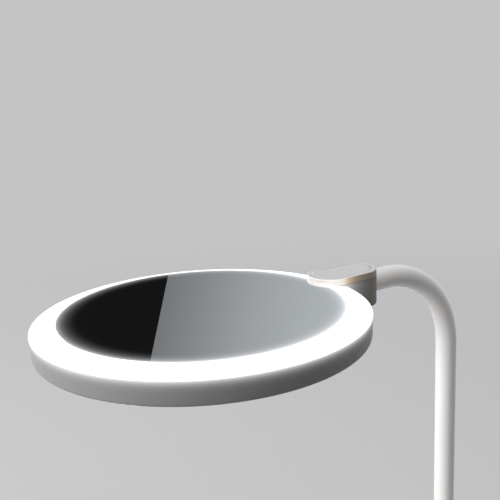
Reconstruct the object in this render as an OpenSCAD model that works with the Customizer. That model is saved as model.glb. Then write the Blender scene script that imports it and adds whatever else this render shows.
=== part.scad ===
// Touch lamp with a round mirror head, a light ring and a bent swing arm.
// Millimetres, +Z up. The table is z = 0, the origin is the centre of the base,
// and the arm reaches from the post towards -X.

/* [Head] */
// Diameter of the head over its rim
head_d = 200; // [180:1:230]
// Height of the head's side wall, back face to rim
head_wall_h = 14; // [13:0.5:18]
// Height of the head's rim above the arm's axis
rim_z = 5.8; // [4:0.1:7]
// Width of the light ring, rim to mirror
ring_w = 14.8; // [13:0.1:24]
// Rise of the light ring from the rim to the mirror
ring_rise = 3.5; // [2.4:0.1:5]
// Bulge of the light ring above a straight slope
ring_bulge = 0.1; // [0.05:0.05:1]
// Thickness of the opal light ring
ring_t = 1.6; // [1.2:0.1:2]
// Thickness of the mirror glass
mirror_t = 3; // [2:0.1:4]
// Thickness of the head shell's side wall
shell_wall = 2.2; // [1.8:0.1:3]
// Thickness of the head shell's back
shell_floor = 2; // [1.6:0.1:2.6]
// Radius of the rounded edge round the head's back
shell_edge = 2.4; // [1:0.1:3.4]
// Draft of the side wall over its height
shell_draft = 0.4; // [0:0.1:1]

/* [Hinge block] */
// Length of the hinge block
block_len = 50.6; // [48:0.1:58]
// Depth of the block's round end inside the mirror's edge
nose_bite = 2.6; // [0:0.1:3]
// Room beside the hinge inside the block
hinge_room = 3.8; // [3.6:0.1:6]
// Wall of the hinge block
block_wall = 2.4; // [2:0.1:3]
// Height of the cap's seam above the head's rim
seam_rise = 1.1; // [0.6:0.1:1.6]
// Height of the shadow groove under the cap
seam_groove = 0.45; // [0.2:0.05:0.8]
// Radius of the rounded edges of the block
block_edge = 0.8; // [0.6:0.1:2]
// Distance from the block's outline to the touch panel
panel_inset = 3.4; // [2.6:0.1:3.6]
// Width of the groove round the touch panel
panel_groove = 0.4; // [0.3:0.05:0.6]
// Thickness of the touch panel
panel_t = 0.9; // [0.6:0.1:1.4]

/* [Arm] */
// Outer diameter of the arm tube
tube_d = 15.4; // [14:0.1:19]
// Wall of the arm tube
tube_wall = 1.2; // [1:0.1:1.6]
// Radius of the bend, on the tube's axis
bend_r = 61.5; // [40:0.5:90]
// Straight length between the hinge block and the bend
neck_len = 13.7; // [6:0.1:60]
// Height of the arm's axis above the table
axis_h = 390; // [300:5:450]
// Diameter of the cable inside the arm
cable_d = 3.6; // [3:0.1:4]
// Turn of the head towards its back-up side, stop to rest
flip_low = -90; // [-120:5:-30]
// Turn of the head towards its light-down side, rest to stop
flip_high = 180; // [90:5:180]

/* [Base] */
// Diameter of the base
base_d = 180; // [170:1:220]
// Height of the base
base_h = 22; // [19:0.5:34]
// Thickness of the foam pad under the base
pad_t = 1.5; // [1:0.1:2.5]
// Thickness of the bottom plate
plate_t = 1.5; // [1.2:0.1:2]
// Wall of the base shell
base_wall = 2.5; // [2:0.1:3]
// Radius of the rounded top edge of the base
base_edge = 3; // [1:0.5:3.5]
// Distance from the base's edge to the post's axis
post_edge = 28; // [27:0.5:50]
// Height of the post socket above the base
socket_rise = 20; // [16:1:40]
// Wall of the post socket
socket_wall = 2.8; // [2.4:0.1:5]
// Turn of the arm to each side, rest to stop
swing_half = 45; // [20:5:60]

/* [Clearances] */
// Radial gap of a running fit
run_gap = 0.05; // [0.03:0.01:0.08]
// Gap between a pressed or screwed piece and its seat
seat_gap = 0.02; // [0.01:0.01:0.04]
// Gap between pieces that must not rub
free_gap = 0.25; // [0.2:0.01:0.3]

/* [Hidden] */
$fn = 96;
eps = 0.01;

// The hinge block across X: the bush sets its height and width
tube_r = tube_d / 2;
bore_r = tube_r - tube_wall;
bush_t = 1.25;
bush_r = tube_r + run_gap + bush_t;
foot_t = 1.6;
panel_board_t = 0.8;
cap_plate = 0.8;
seam_depth = 0.6;
cap_cover = 0.4;
cap_roof = bush_r + cap_cover;
recess_z = cap_roof + cap_plate;
block_top = recess_z + panel_board_t + panel_t;
block_r = bush_r + hinge_room + block_wall;
block_floor = -tube_r - foot_t - 0.4;
block_bottom = block_floor - block_wall;

// Levels of the head, measured from the arm's axis
back_z = rim_z - head_wall_h;
floor_z = back_z + shell_floor;
mirror_z = rim_z + ring_rise;
seam_z = rim_z + seam_rise;
cap_h = block_top - seam_z;
tape_t = 0.8;
tray_t = 1.8;
tray_top = mirror_z - mirror_t - tape_t;
tray_bottom = tray_top - tray_t;
ledge_h = 1.4;
led_t = 1.6;
led_top = floor_z + ledge_h + led_t;

// Radii of the head
head_r = head_d / 2;
ring_in = head_r - ring_w;
mirror_gap = 0.2;
mirror_r = ring_in - mirror_gap;
mirror_bevel = 0.2;
ring_foot = 0.1;
ring_lip = 2.2;
ring_lip_t = 1.4;
tray_r = ring_in + ring_t + 0.4;
led_in = tray_r + 1.1;
led_out = head_r - shell_wall - 0.8;
film_t = 0.8;
around_start = 30;
ledge_in = led_in + 0.4;
ledge_w = 5;
led_screw_r = ledge_in + ledge_w / 2;
chip_size = [2.8, 3.5, 0.8];
chip_r = led_out - chip_size.y / 2 - 1.4;
chip_count = 72;
led_screw_start = around_start + 180 / chip_count;
tray_post_r = 0.72 * ring_in;
tray_post_d = 7;
tray_post_count = 6;
tray_screw_len = 7;
tray_rib_t = 1.6;
tray_rib_h = 3;
tray_rib_in = 0.33 * ring_in;
tray_rib_out = tray_post_r - 12;

// The hinge along X from the head's centre
block_near = mirror_r - nose_bite;
block_far = block_near + block_len;
block_mid = (block_near + block_far) / 2;
bush_len = 8;
bush_end = block_far - 5;
bush_start = bush_end - bush_len;
flip_pin_x = bush_start - 2.5;
flip_pin_r = 1.5;
flip_pin_tip = cap_roof - 0.5;
tube_end_x = flip_pin_x - 3;
plug_len = 11;
flange_t = 2;
washer_t = 1;
washer_r = tube_r + 0.3;
bracket_t = 3;
bracket_x = tube_end_x - flange_t - washer_t;
bracket_back = bracket_x - bracket_t;
spring_x = bracket_back - washer_t;
spring_h = 1.4;
spring_leaf = 0.6;
nut_x = spring_x - spring_h;
nut_h = 4;
stud_r = 4;
stud_end = nut_x - nut_h - 1;
cable_end = stud_end - 1.5;
cable_r = cable_d / 2;
flip_pin_half = asin(flip_pin_r / tube_r);
flip_margin = 1.3;
flip_rib_from = 90 - flip_low + flip_pin_half + flip_margin;
flip_rib_to = 450 - flip_high - flip_pin_half - flip_margin;

// The small screws
screw_r = 1.1;
screw_head_r = 2;
screw_head_h = 1.2;
screw_hole_r = screw_r + seat_gap;
foot_len = 9;
bracket_screw_x = bracket_back - foot_len / 2;
bracket_screw_y = block_r - block_wall - screw_head_r - 0.4;
cap_screw_r = 0.8;
cap_screw_head_r = 1.5;
cap_screw_head_h = 0.9;
cap_screw_z = recess_z - 0.1 - cap_screw_head_h;
cap_boss_r = 1.9;
cap_side_x = bracket_x + 2.3;
cap_side_y = block_r - panel_inset - cap_screw_head_r - 0.1;
cap_near_x = block_near + panel_inset + cap_screw_head_r + 1;
led_screw_head_r = 1.8;
led_screw_count = 6;

// The lead from the arm's cable to the light board
lead_r = 1;
lead_bend = 1.6;
gate_x = block_near + 9;
gate_w = 3.4;
gate_y = sqrt(pow(block_r, 2) - pow(block_near + block_r - gate_x - lead_r, 2));
landing_y = gate_y + lead_r + 0.4;

// The head's place and the bend
reach = block_far + neck_len + bend_r;
base_r = base_d / 2;
post_x = base_r - post_edge;
head_x = post_x - reach;
bend_x = post_x - bend_r;

// Levels of the base, measured from the table
board_headroom = 7.5;
plate_top = pad_t + plate_t;
base_roof = base_h - base_wall;
weight_top = base_roof - board_headroom;
weight_t = weight_top - plate_top;
weight_r = base_r - base_wall - 11.5;
base_screw_r = 1.5;
base_screw_grip = 6.5;
boss_r = 4;
boss_place = base_r - base_wall - boss_r - 1.2;
boss_count = 4;
boss_start = 45;
socket_flange_r = 20;
socket_flange_t = 4;
socket_r = tube_r + socket_wall;
socket_chamfer = 0.8;
socket_floor = weight_top + socket_flange_t;
socket_top = base_h + socket_rise;
foot_z = socket_floor + washer_t;
cable_hole_r = 4;
sleeve_len = 28;
swing_screw_z = foot_z + 11;
swing_screw_r = 2;
slot_gap = 0.1;
slot_half = swing_half + asin((swing_screw_r + slot_gap) / bore_r);
swing_ring_z = socket_top - 5;
swing_ring_r = 0.7;
post_screw_r = 2;
post_screw_ring = 14.5;
post_screw_count = 4;
post_screw_start = 45;
post_hole_r = 7;

// The driver board, the inlet and the lead in the base
board_size = [44, 30, 1.6];
board_y = base_r - base_wall - board_size.y - 3.5;
board_z = weight_top + 1.5;
board_face = board_z + board_size.z;
board_hole_x = 18;
board_hole_y = [4, 15];
spacer_r = 3;
usb_w = 8.94;
usb_h = 3.26;
usb_shell = 0.3;
usb_len = 7.3;
usb_back = 1;
usb_tongue = [6.7, 0.7, 5.3];
usb_mouth_y = base_r - 1.2;
usb_z = board_face + usb_h / 2;
plug_size = [9, 6, 3.4];
plug_x = 8;
plug_y = board_y + 3.5;
plug_z = board_face + plug_size.z / 2;
base_lead_r = 1.5;
base_lead_z = weight_top - 3;
channel_w = 2 * base_lead_r + 2;
base_bend = 4;
rise_bend = (plug_z - base_lead_z) / 2;
rise_y = board_y - 2 * rise_bend;

// A round-ended bar seen from above, its long axis on X
module bar_outline(length, r) {
    square([length - 2 * r, 2 * r], center = true);
    for (side = [-1, 1]) translate([side * (length / 2 - r), 0]) circle(r);
}

// The block's outline, drawn in by a distance
module block_outline(inset) {
    translate([block_mid, 0]) bar_outline(block_len - 2 * inset, block_r - inset);
}

// Half of an edge-rounded disc, cut through its axis, with the round edge on top
module rounded_half(r, h, edge) {
    square([r, h - edge]);
    square([r - edge, h]);
    translate([r - edge, h - edge]) circle(edge, $fn = 48);
}

// The outside of the hinge block from z = 0 to a height, with a rounded top edge
module rounded_block(h) {
    straight = block_len - 2 * block_r;
    translate([block_mid, 0, 0]) {
        for (side = [-1, 1]) translate([side * straight / 2, 0, 0])
            rotate([0, 0, -90 * side])
                rotate_extrude(angle = 180) rounded_half(block_r, h, block_edge);
        rotate([90, 0, 90]) linear_extrude(straight, center = true) {
            rounded_half(block_r, h, block_edge);
            mirror([1, 0]) rounded_half(block_r, h, block_edge);
        }
    }
}

// Copies spaced evenly round the Z axis
module around(count, start = 0) {
    for (i = [0 : count - 1]) rotate([0, 0, start + i * 360 / count]) children();
}

// Copies mirrored across the arm's plane
module both_sides(y) {
    for (side = [-1, 1]) translate([0, side * y, 0]) children();
}

// A rod along X between two places
module rod_x(r, from, to) {
    translate([from, 0, 0]) rotate([0, 90, 0]) cylinder(r = r, h = to - from);
}

// A tube along X between two places
module sleeve_x(r_out, r_in, from, to) {
    difference() {
        rod_x(r_out, from, to);
        rod_x(r_in, from - 1, to + 1);
    }
}

// A ring about the Z axis with flat faces
module flat_ring(r_out, r_in, h) {
    difference() {
        cylinder(r = r_out, h = h);
        translate([0, 0, -1]) cylinder(r = r_in, h = h + 2);
    }
}

// A quarter of a bent rod, from the X axis to the Y axis
module quarter_bend(bend, r) {
    rotate_extrude(angle = 90) translate([bend, 0]) circle(r, $fn = 32);
}

// A pan-headed screw: the head stands on z = 0 and the shank hangs below it
module pan_screw(r, head_r, head_h, length) {
    slot_l = head_r * 1.1;
    slot_w = head_r * 0.24;
    difference() {
        union() {
            cylinder(r = head_r, h = head_h);
            translate([0, 0, -length]) cylinder(r = r, h = length + eps);
        }
        for (turn = [0, 90]) rotate([0, 0, turn])
            translate([-slot_l / 2, -slot_w / 2, head_h * 0.4]) cube([slot_l, slot_w, head_h]);
    }
}

// A countersunk screw: its flat head is at z = 0 and the shank stands above it
module sunk_screw(r, head_h, length) {
    difference() {
        union() {
            cylinder(r1 = 2 * r, r2 = r, h = head_h);
            cylinder(r = r, h = length);
        }
        translate([0, 0, -eps]) cylinder(r = r * 0.65, h = head_h * 0.7, $fn = 6);
    }
}

// The hole that a countersunk screw sits in
module sunk_hole(r, head_h, length) {
    hole_r = r + seat_gap;
    translate([0, 0, -1]) cylinder(r = 2 * r + seat_gap, h = 1 + eps);
    cylinder(r1 = 2 * r + seat_gap, r2 = hole_r, h = head_h);
    translate([0, 0, -1]) cylinder(r = hole_r, h = length + 1);
}

// The arm's path as a solid rod, with its open ends made longer for cutting
module arm_path(r, longer = 0) {
    bend_z = axis_h - bend_r;
    translate([0, 0, axis_h]) rod_x(r, head_x + tube_end_x - longer, bend_x);
    translate([bend_x, 0, bend_z]) rotate([90, 0, 0])
        rotate_extrude(angle = 90) translate([bend_r, 0]) circle(r);
    translate([post_x, 0, foot_z - longer]) cylinder(r = r, h = bend_z - foot_z + longer);
}

// Places children in the head, whose centre is on the arm's axis
module at_head() {
    translate([head_x, 0, axis_h]) children();
}

// Places children on the post's axis
module at_post() {
    translate([post_x, 0, 0]) children();
}

// The places of the driver board's screws, seen from above
module at_board_holes() {
    for (x = [-board_hole_x, board_hole_x], y = board_hole_y)
        translate([x, board_y + y, 0]) children();
}

// The room that the hinge block takes out of the pieces round it
module block_space(gap) {
    translate([0, 0, floor_z - 1]) linear_extrude(block_top - floor_z + 2)
        block_outline(-gap);
}

module base_pad() {
    pad_inset = 1.5;
    color("dimgray") cylinder(r = base_r - pad_inset, h = pad_t);
}

module base_plate() {
    color("silver") difference() {
        translate([0, 0, pad_t]) cylinder(r = base_r - base_wall - free_gap, h = plate_t);
        around(boss_count, boss_start) translate([boss_place, 0, pad_t])
            sunk_hole(base_screw_r, plate_t, plate_t + 1);
        at_post() around(post_screw_count, post_screw_start)
            translate([post_screw_ring, 0, pad_t]) sunk_hole(post_screw_r, plate_t, plate_t + 1);
    }
}

// The steel disc, with a well under the post and a channel for the lead
module base_weight() {
    channel_z = base_lead_z - base_lead_r - 0.5;
    channel_end = rise_y + rise_bend + base_lead_r + 1;
    color("dimgray") difference() {
        translate([0, 0, plate_top]) cylinder(r = weight_r, h = weight_t);
        at_post() {
            translate([0, 0, plate_top - 1]) cylinder(r = post_hole_r, h = weight_t + 2);
            around(post_screw_count, post_screw_start)
                translate([post_screw_ring, 0, plate_top - 1])
                    cylinder(r = post_screw_r + seat_gap, h = weight_t + 2);
        }
        translate([plug_x - channel_w / 2, -channel_w / 2, channel_z])
            cube([post_x - plug_x, channel_w, weight_t]);
        translate([plug_x - channel_w / 2, -channel_w / 2, channel_z])
            cube([channel_w, channel_end + channel_w / 2, weight_t]);
        at_board_holes() translate([0, 0, weight_top - 4.5]) cylinder(r = screw_hole_r, h = 5.5);
    }
}

module base_shell() {
    screw_depth = base_screw_grip + 0.5;
    hole_margin = 0.5;
    color("white") difference() {
        union() {
            difference() {
                translate([0, 0, pad_t])
                    rotate_extrude() rounded_half(base_r, base_h - pad_t, base_edge);
                translate([0, 0, pad_t - 1])
                    cylinder(r = base_r - base_wall, h = base_roof - pad_t + 1);
            }
            around(boss_count, boss_start) translate([boss_place, 0, plate_top])
                cylinder(r = boss_r, h = base_roof + eps - plate_top);
        }
        at_post() translate([0, 0, base_roof - 1])
            cylinder(r = socket_r + free_gap, h = base_wall + 2);
        around(boss_count, boss_start) translate([boss_place, 0, plate_top - 1])
            cylinder(r = base_screw_r + seat_gap, h = screw_depth + 1);
        translate([0, base_r - base_wall - 1, usb_z]) rotate([-90, 0, 0])
            linear_extrude(base_wall + 2)
                bar_outline(usb_w + 2 * hole_margin, usb_h / 2 + hole_margin);
    }
}

module base_screws() {
    color("gray") around(boss_count, boss_start) translate([boss_place, 0, pad_t])
        sunk_screw(base_screw_r, plate_t, plate_t + base_screw_grip);
}

// The turned collar that carries the arm, with its flange inside the base
module post_socket() {
    groove_h = 2 * swing_ring_r + 0.4;
    groove_d = 2 * swing_ring_r + run_gap + 0.1;
    fit_r = tube_r + run_gap;
    color("white") difference() {
        at_post() rotate_extrude() difference() {
            polygon([[cable_hole_r, weight_top], [socket_flange_r, weight_top],
                     [socket_flange_r, socket_floor], [socket_r, socket_floor],
                     [socket_r, socket_top - socket_chamfer],
                     [socket_r - socket_chamfer, socket_top], [fit_r, socket_top],
                     [fit_r, socket_floor], [cable_hole_r, socket_floor]]);
            translate([tube_r, swing_ring_z - groove_h / 2]) square([groove_d, groove_h]);
        }
        at_post() around(post_screw_count, post_screw_start)
            translate([post_screw_ring, 0, weight_top - 1])
                cylinder(r = post_screw_r + seat_gap, h = socket_flange_t);
        translate([post_x, 0, swing_screw_z])
            rod_x(swing_screw_r + seat_gap, tube_r - 1, socket_r + 1);
    }
}

module post_screws() {
    color("gray") at_post() around(post_screw_count, post_screw_start)
        translate([post_screw_ring, 0, pad_t])
            sunk_screw(post_screw_r, plate_t, weight_top - pad_t + 2.6);
}

// The grub screw whose tip runs in the tube's slot
module swing_stop_screw() {
    tip = bore_r + 0.3;
    end = socket_r - 0.3;
    drive_depth = 1.6;
    color("dimgray") translate([post_x, 0, swing_screw_z]) difference() {
        rod_x(swing_screw_r, tip, end);
        translate([end - drive_depth, 0, 0]) rotate([0, 90, 0])
            cylinder(r = swing_screw_r * 0.55, h = drive_depth + 1, $fn = 6);
    }
}

module swing_ring() {
    color("black") at_post() translate([0, 0, swing_ring_z])
        rotate_extrude() translate([tube_r + run_gap + swing_ring_r, 0])
            circle(swing_ring_r, $fn = 32);
}

module swing_washer() {
    color("ivory") at_post() translate([0, 0, socket_floor])
        flat_ring(tube_r - 0.1, cable_hole_r + 0.2, washer_t);
}

module driver_board() {
    color("green") difference() {
        translate([-board_size.x / 2, board_y, board_z]) cube(board_size);
        at_board_holes() translate([0, 0, board_z - 1]) cylinder(r = screw_hole_r, h = 4);
    }
}

// The coil, capacitor, two chips and the plug on the driver board
module board_parts() {
    headroom = base_roof - board_face - 0.3;
    coil = [4, min(3.6, headroom)];
    capacitor = [2.5, min(3.8, headroom)];
    driver_chip = [6, 5, 1.2];
    touch_chip = [5, 4, 1.1];
    coil_at = [-9, 8, 0];
    capacitor_at = [-12, 16, 0];
    driver_chip_at = [-2, 14, 0];
    touch_chip_at = [7, 15, 0];
    color("dimgray") translate([0, board_y, board_face]) {
        translate(coil_at) cylinder(r = coil[0], h = coil[1]);
        translate(capacitor_at) cylinder(r = capacitor[0], h = capacitor[1]);
        translate(driver_chip_at) cube(driver_chip);
        translate(touch_chip_at) cube(touch_chip);
        translate([plug_x - plug_size.x / 2, plug_y - board_y, 0]) cube(plug_size);
    }
}

module board_spacers() {
    color("ivory") at_board_holes() translate([0, 0, weight_top])
        flat_ring(spacer_r, screw_hole_r, board_z - weight_top);
}

module board_screws() {
    color("gray") at_board_holes() translate([0, 0, board_face])
        pan_screw(screw_r, screw_head_r, screw_head_h, 7);
}

module usb_socket() {
    inner_r = usb_h / 2 - usb_shell;
    color("silver") translate([0, usb_mouth_y - usb_len, usb_z]) rotate([-90, 0, 0]) {
        difference() {
            linear_extrude(usb_len) bar_outline(usb_w, usb_h / 2);
            translate([0, 0, usb_back]) linear_extrude(usb_len)
                bar_outline(usb_w - 2 * usb_shell, inner_r);
        }
        translate([-usb_tongue.x / 2, -usb_tongue.y / 2, usb_back - eps]) cube(usb_tongue);
    }
}

// The lead from the post to the driver board, lying in the weight's channel
module base_lead() {
    r = base_lead_r;
    low = base_lead_z;
    bend_top = low + base_bend;
    color("black") {
        translate([post_x, 0, bend_top]) cylinder(r = r, h = socket_floor - bend_top - seat_gap);
        translate([post_x - base_bend, 0, bend_top]) rotate([90, 0, 0])
            rotate([0, 0, -90]) quarter_bend(base_bend, r);
        translate([0, 0, low]) rod_x(r, plug_x + base_bend, post_x - base_bend);
        translate([plug_x + base_bend, base_bend, low])
            rotate([0, 0, 180]) quarter_bend(base_bend, r);
        translate([plug_x, base_bend, low]) rotate([-90, 0, 0])
            cylinder(r = r, h = rise_y - base_bend);
        translate([plug_x, rise_y, low + rise_bend]) rotate([90, 0, 90])
            rotate([0, 0, -90]) quarter_bend(rise_bend, r);
        translate([plug_x, board_y, low + rise_bend]) rotate([90, 0, 90])
            rotate([0, 0, 90]) quarter_bend(rise_bend, r);
        translate([plug_x, board_y, plug_z]) rotate([-90, 0, 0])
            cylinder(r = r, h = plug_y - board_y);
    }
}

module arm_tube() {
    slot_h = 2 * (swing_screw_r + slot_gap);
    color("white") difference() {
        arm_path(tube_r);
        arm_path(bore_r, 2);
        translate([head_x + flip_pin_x, 0, axis_h])
            cylinder(r = flip_pin_r + seat_gap, h = tube_r + 1);
        translate([post_x, 0, swing_screw_z - slot_h / 2]) rotate([0, 0, -slot_half])
            rotate_extrude(angle = 2 * slot_half)
                translate([bore_r - 0.5, 0]) square([tube_wall + 1.5, slot_h]);
    }
}

module foot_sleeve() {
    color("silver") at_post() translate([0, 0, foot_z])
        flat_ring(bore_r - seat_gap, cable_hole_r, sleeve_len);
}

// The plug in the tube's end: a flange, then the hollow stud that the head turns on
module hinge_plug() {
    flange_x = tube_end_x - flange_t;
    color("silver") at_head() difference() {
        union() {
            rod_x(tube_r, flange_x, tube_end_x);
            rod_x(bore_r - seat_gap, tube_end_x - eps, tube_end_x + plug_len);
            rod_x(stud_r, stud_end, flange_x + eps);
        }
        rod_x(cable_r + 0.2, stud_end - 1, tube_end_x + plug_len + 1);
        translate([flip_pin_x, 0, 0]) cylinder(r = flip_pin_r + seat_gap, h = tube_r + 1);
    }
}

module flip_stop_pin() {
    root = cable_r + 0.8;
    color("gray") at_head() translate([flip_pin_x, 0, root])
        cylinder(r = flip_pin_r, h = flip_pin_tip - root);
}

module friction_washers() {
    color("ivory") at_head() for (x = [spring_x, bracket_x])
        sleeve_x(washer_r, stud_r + run_gap, x, x + washer_t);
}

module disc_spring() {
    r_in = stud_r + 2 * run_gap;
    r_out = washer_r - 0.3;
    color("gray") at_head() translate([nut_x, 0, 0]) rotate([0, 90, 0]) rotate_extrude()
        polygon([[r_in, 0], [r_in, spring_leaf], [r_out, spring_h],
                 [r_out, spring_h - spring_leaf]]);
}

module hinge_nut() {
    color("silver") at_head() difference() {
        translate([nut_x - nut_h, 0, 0]) rotate([0, 90, 0])
            cylinder(r = tube_r - 0.2, h = nut_h, $fn = 6);
        rod_x(stud_r + seat_gap, nut_x - nut_h - 1, nut_x + 1);
    }
}

module arm_cable() {
    low = socket_floor + seat_gap;
    bend_z = axis_h - bend_r;
    color("black") {
        translate([0, 0, axis_h]) rod_x(cable_r, head_x + cable_end, bend_x);
        translate([bend_x, 0, bend_z]) rotate([90, 0, 0]) quarter_bend(bend_r, cable_r);
        translate([post_x, 0, low]) cylinder(r = cable_r, h = bend_z - low);
    }
}

// The dish of the head, without the hinge block
module head_dish() {
    side_r = head_r - shell_draft;
    inner_r = head_r - shell_wall;
    floor_bevel = 1;
    rotate_extrude() difference() {
        union() {
            polygon([[0, back_z], [side_r - shell_edge, back_z], [side_r, back_z + shell_edge],
                     [head_r, rim_z], [0, rim_z]]);
            translate([side_r - shell_edge, back_z + shell_edge]) circle(shell_edge, $fn = 48);
        }
        polygon([[-1, floor_z], [inner_r - floor_bevel, floor_z],
                 [inner_r, floor_z + floor_bevel], [inner_r, rim_z + 1], [-1, rim_z + 1]]);
    }
    rotate_extrude() translate([ledge_in, floor_z - eps]) square([ledge_w, ledge_h + eps]);
    around(tray_post_count, around_start) translate([tray_post_r, 0, floor_z - eps])
        cylinder(r = tray_post_d / 2, h = tray_bottom - floor_z + eps);
}

// Places children at the cap's screws
module at_cap_screws() {
    translate([cap_near_x, 0, 0]) children();
    for (side = [-1, 1]) translate([cap_side_x, side * cap_side_y, 0])
        rotate([0, 0, side * -90]) children();
}

// The screw bosses and the saddle for the bush, between two heights in the block
module block_fittings(from, to) {
    wall_grip = 0.5;
    intersection() {
        translate([0, 0, from]) linear_extrude(to - from) block_outline(block_wall - wall_grip);
        translate([0, 0, from]) linear_extrude(to - from) {
            translate([bush_start, -block_r]) square([block_r, 2 * block_r]);
            at_cap_screws() {
                circle(cap_boss_r);
                translate([-block_wall - cap_boss_r, -cap_boss_r])
                    square([block_wall + cap_boss_r, 2 * cap_boss_r]);
            }
        }
    }
}

// The holes for the bush and the tube through the end of the block
module hinge_bore() {
    rod_x(bush_r + seat_gap, bush_start - 1, bush_end);
    rod_x(tube_r + 0.2, bush_end - 1, block_far + 1);
}

// The rib inside the block that the stop pin meets at both ends of the turn
module flip_rib() {
    reach_out = 2 * block_r;
    middle = (flip_rib_from + flip_rib_to) / 2;
    intersection() {
        translate([0, 0, block_floor - 0.5]) linear_extrude(seam_z - block_floor + 0.5)
            block_outline(block_wall - 0.5);
        translate([flip_pin_x - 2, 0, 0]) rotate([90, 0, 90])
            linear_extrude(bush_start - flip_pin_x + 2 + eps) difference() {
                polygon([[0, 0], for (a = [flip_rib_from, middle, flip_rib_to])
                    reach_out * [cos(a), sin(a)]]);
                circle(tube_r + 0.3);
            }
    }
}

// The moulded pan: the dish with the lower half of the hinge block, hollow inside
module head_shell() {
    color("white") at_head() difference() {
        union() {
            difference() {
                union() {
                    head_dish();
                    translate([0, 0, seam_z]) mirror([0, 0, 1]) rounded_block(seam_z - block_bottom);
                }
                translate([0, 0, block_floor]) linear_extrude(seam_z - block_floor + 1)
                    block_outline(block_wall);
            }
            block_fittings(block_floor - 0.5, seam_z);
            flip_rib();
        }
        hinge_bore();
        translate([gate_x - gate_w / 2, block_r / 2, -gate_w / 2])
            cube([gate_w, block_r, gate_w]);
        at_cap_screws() translate([0, 0, cap_screw_z - 8])
            cylinder(r = cap_screw_r + seat_gap, h = 8);
        both_sides(bracket_screw_y) translate([bracket_screw_x, 0, block_floor - 1.6])
            cylinder(r = screw_hole_r, h = 2.6);
        around(tray_post_count, around_start) translate([tray_post_r, 0, tray_bottom - 6])
            cylinder(r = screw_hole_r, h = 7);
        around(led_screw_count, led_screw_start) translate([led_screw_r, 0, floor_z - 0.8])
            cylinder(r = screw_hole_r, h = 4);
    }
}

module hinge_cap() {
    color("white") at_head() difference() {
        union() {
            difference() {
                translate([0, 0, seam_z]) rounded_block(cap_h);
                translate([0, 0, seam_z - 1]) linear_extrude(cap_roof - seam_z + 1)
                    block_outline(block_wall);
            }
            block_fittings(seam_z, cap_roof + 0.3);
        }
        translate([0, 0, seam_z - eps]) difference() {
            linear_extrude(seam_groove + eps) block_outline(-1);
            translate([0, 0, -1]) linear_extrude(seam_groove + 2) block_outline(seam_depth);
        }
        translate([0, 0, recess_z]) linear_extrude(cap_h) block_outline(panel_inset);
        hinge_bore();
        at_cap_screws() translate([0, 0, cap_screw_z]) {
            cylinder(r = cap_screw_head_r + seat_gap, h = cap_h);
            translate([0, 0, -cap_h]) cylinder(r = cap_screw_r + seat_gap, h = cap_h + 1);
        }
    }
}

module touch_panel() {
    color("lightgray") at_head() translate([0, 0, block_top - panel_t])
        linear_extrude(panel_t) block_outline(panel_inset + panel_groove);
}

module touch_board() {
    color("green") at_head() translate([0, 0, recess_z])
        linear_extrude(panel_board_t) block_outline(panel_inset + panel_groove);
}

module hinge_bush() {
    color("ivory") at_head() sleeve_x(bush_r, tube_r + run_gap, bush_start, bush_end);
}

// The angle plate in the block that the friction washers press on
module hinge_bracket() {
    half_w = block_r - block_wall - 0.3;
    color("silver") at_head() difference() {
        union() {
            translate([bracket_back, -half_w, block_floor])
                cube([bracket_t, 2 * half_w, seam_z - block_floor - 0.3]);
            translate([bracket_back - foot_len, -half_w, block_floor])
                cube([foot_len + eps, 2 * half_w, foot_t]);
        }
        rod_x(stud_r + run_gap, bracket_back - 1, bracket_x + 1);
        both_sides(bracket_screw_y) translate([bracket_screw_x, 0, block_floor - 1])
            cylinder(r = screw_hole_r, h = foot_t + 2);
    }
}

module bracket_screws() {
    color("gray") at_head() both_sides(bracket_screw_y)
        translate([bracket_screw_x, 0, block_floor + foot_t])
            pan_screw(screw_r, screw_head_r, screw_head_h, foot_t + 1.4);
}

module cap_screws() {
    color("gray") at_head() at_cap_screws() translate([0, 0, cap_screw_z])
        pan_screw(cap_screw_r, cap_screw_head_r, cap_screw_head_h, 7.5);
}

// The lead from the hinge to the light board, through the gate in the block's wall
module head_lead() {
    color("black") at_head() {
        rod_x(lead_r, gate_x + lead_bend, cable_end - seat_gap);
        translate([gate_x + lead_bend, lead_bend, 0])
            rotate([0, 0, 180]) quarter_bend(lead_bend, lead_r);
        translate([gate_x, lead_bend, 0]) rotate([-90, 0, 0])
            cylinder(r = lead_r, h = landing_y - 2 * lead_bend);
        translate([gate_x, landing_y - lead_bend, -lead_bend]) rotate([90, 0, 90])
            quarter_bend(lead_bend, lead_r);
        translate([gate_x, landing_y, led_top]) cylinder(r = lead_r, h = -lead_bend - led_top);
    }
}

module led_board() {
    color("white") at_head() difference() {
        translate([0, 0, led_top - led_t]) flat_ring(led_out, led_in, led_t);
        block_space(2 * free_gap);
        around(led_screw_count, led_screw_start) translate([led_screw_r, 0, led_top - led_t - 1])
            cylinder(r = screw_hole_r, h = led_t + 2);
    }
}

// The light chips, left out beside the hinge block
module led_chips() {
    pitch = 360 / chip_count;
    free_turn = asin((block_r + 4) / chip_r);
    color("yellow") at_head()
        for (turn = [pitch : pitch : 360 - pitch]) if (abs(turn - 180) < 180 - free_turn)
            rotate([0, 0, turn]) translate([chip_r - chip_size.y / 2, -chip_size.x / 2, led_top])
                cube([chip_size.y, chip_size.x, chip_size.z]);
}

module led_screws() {
    color("gray") at_head() around(led_screw_count, led_screw_start)
        translate([led_screw_r, 0, led_top]) pan_screw(screw_r, led_screw_head_r, 1, 3);
}

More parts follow.
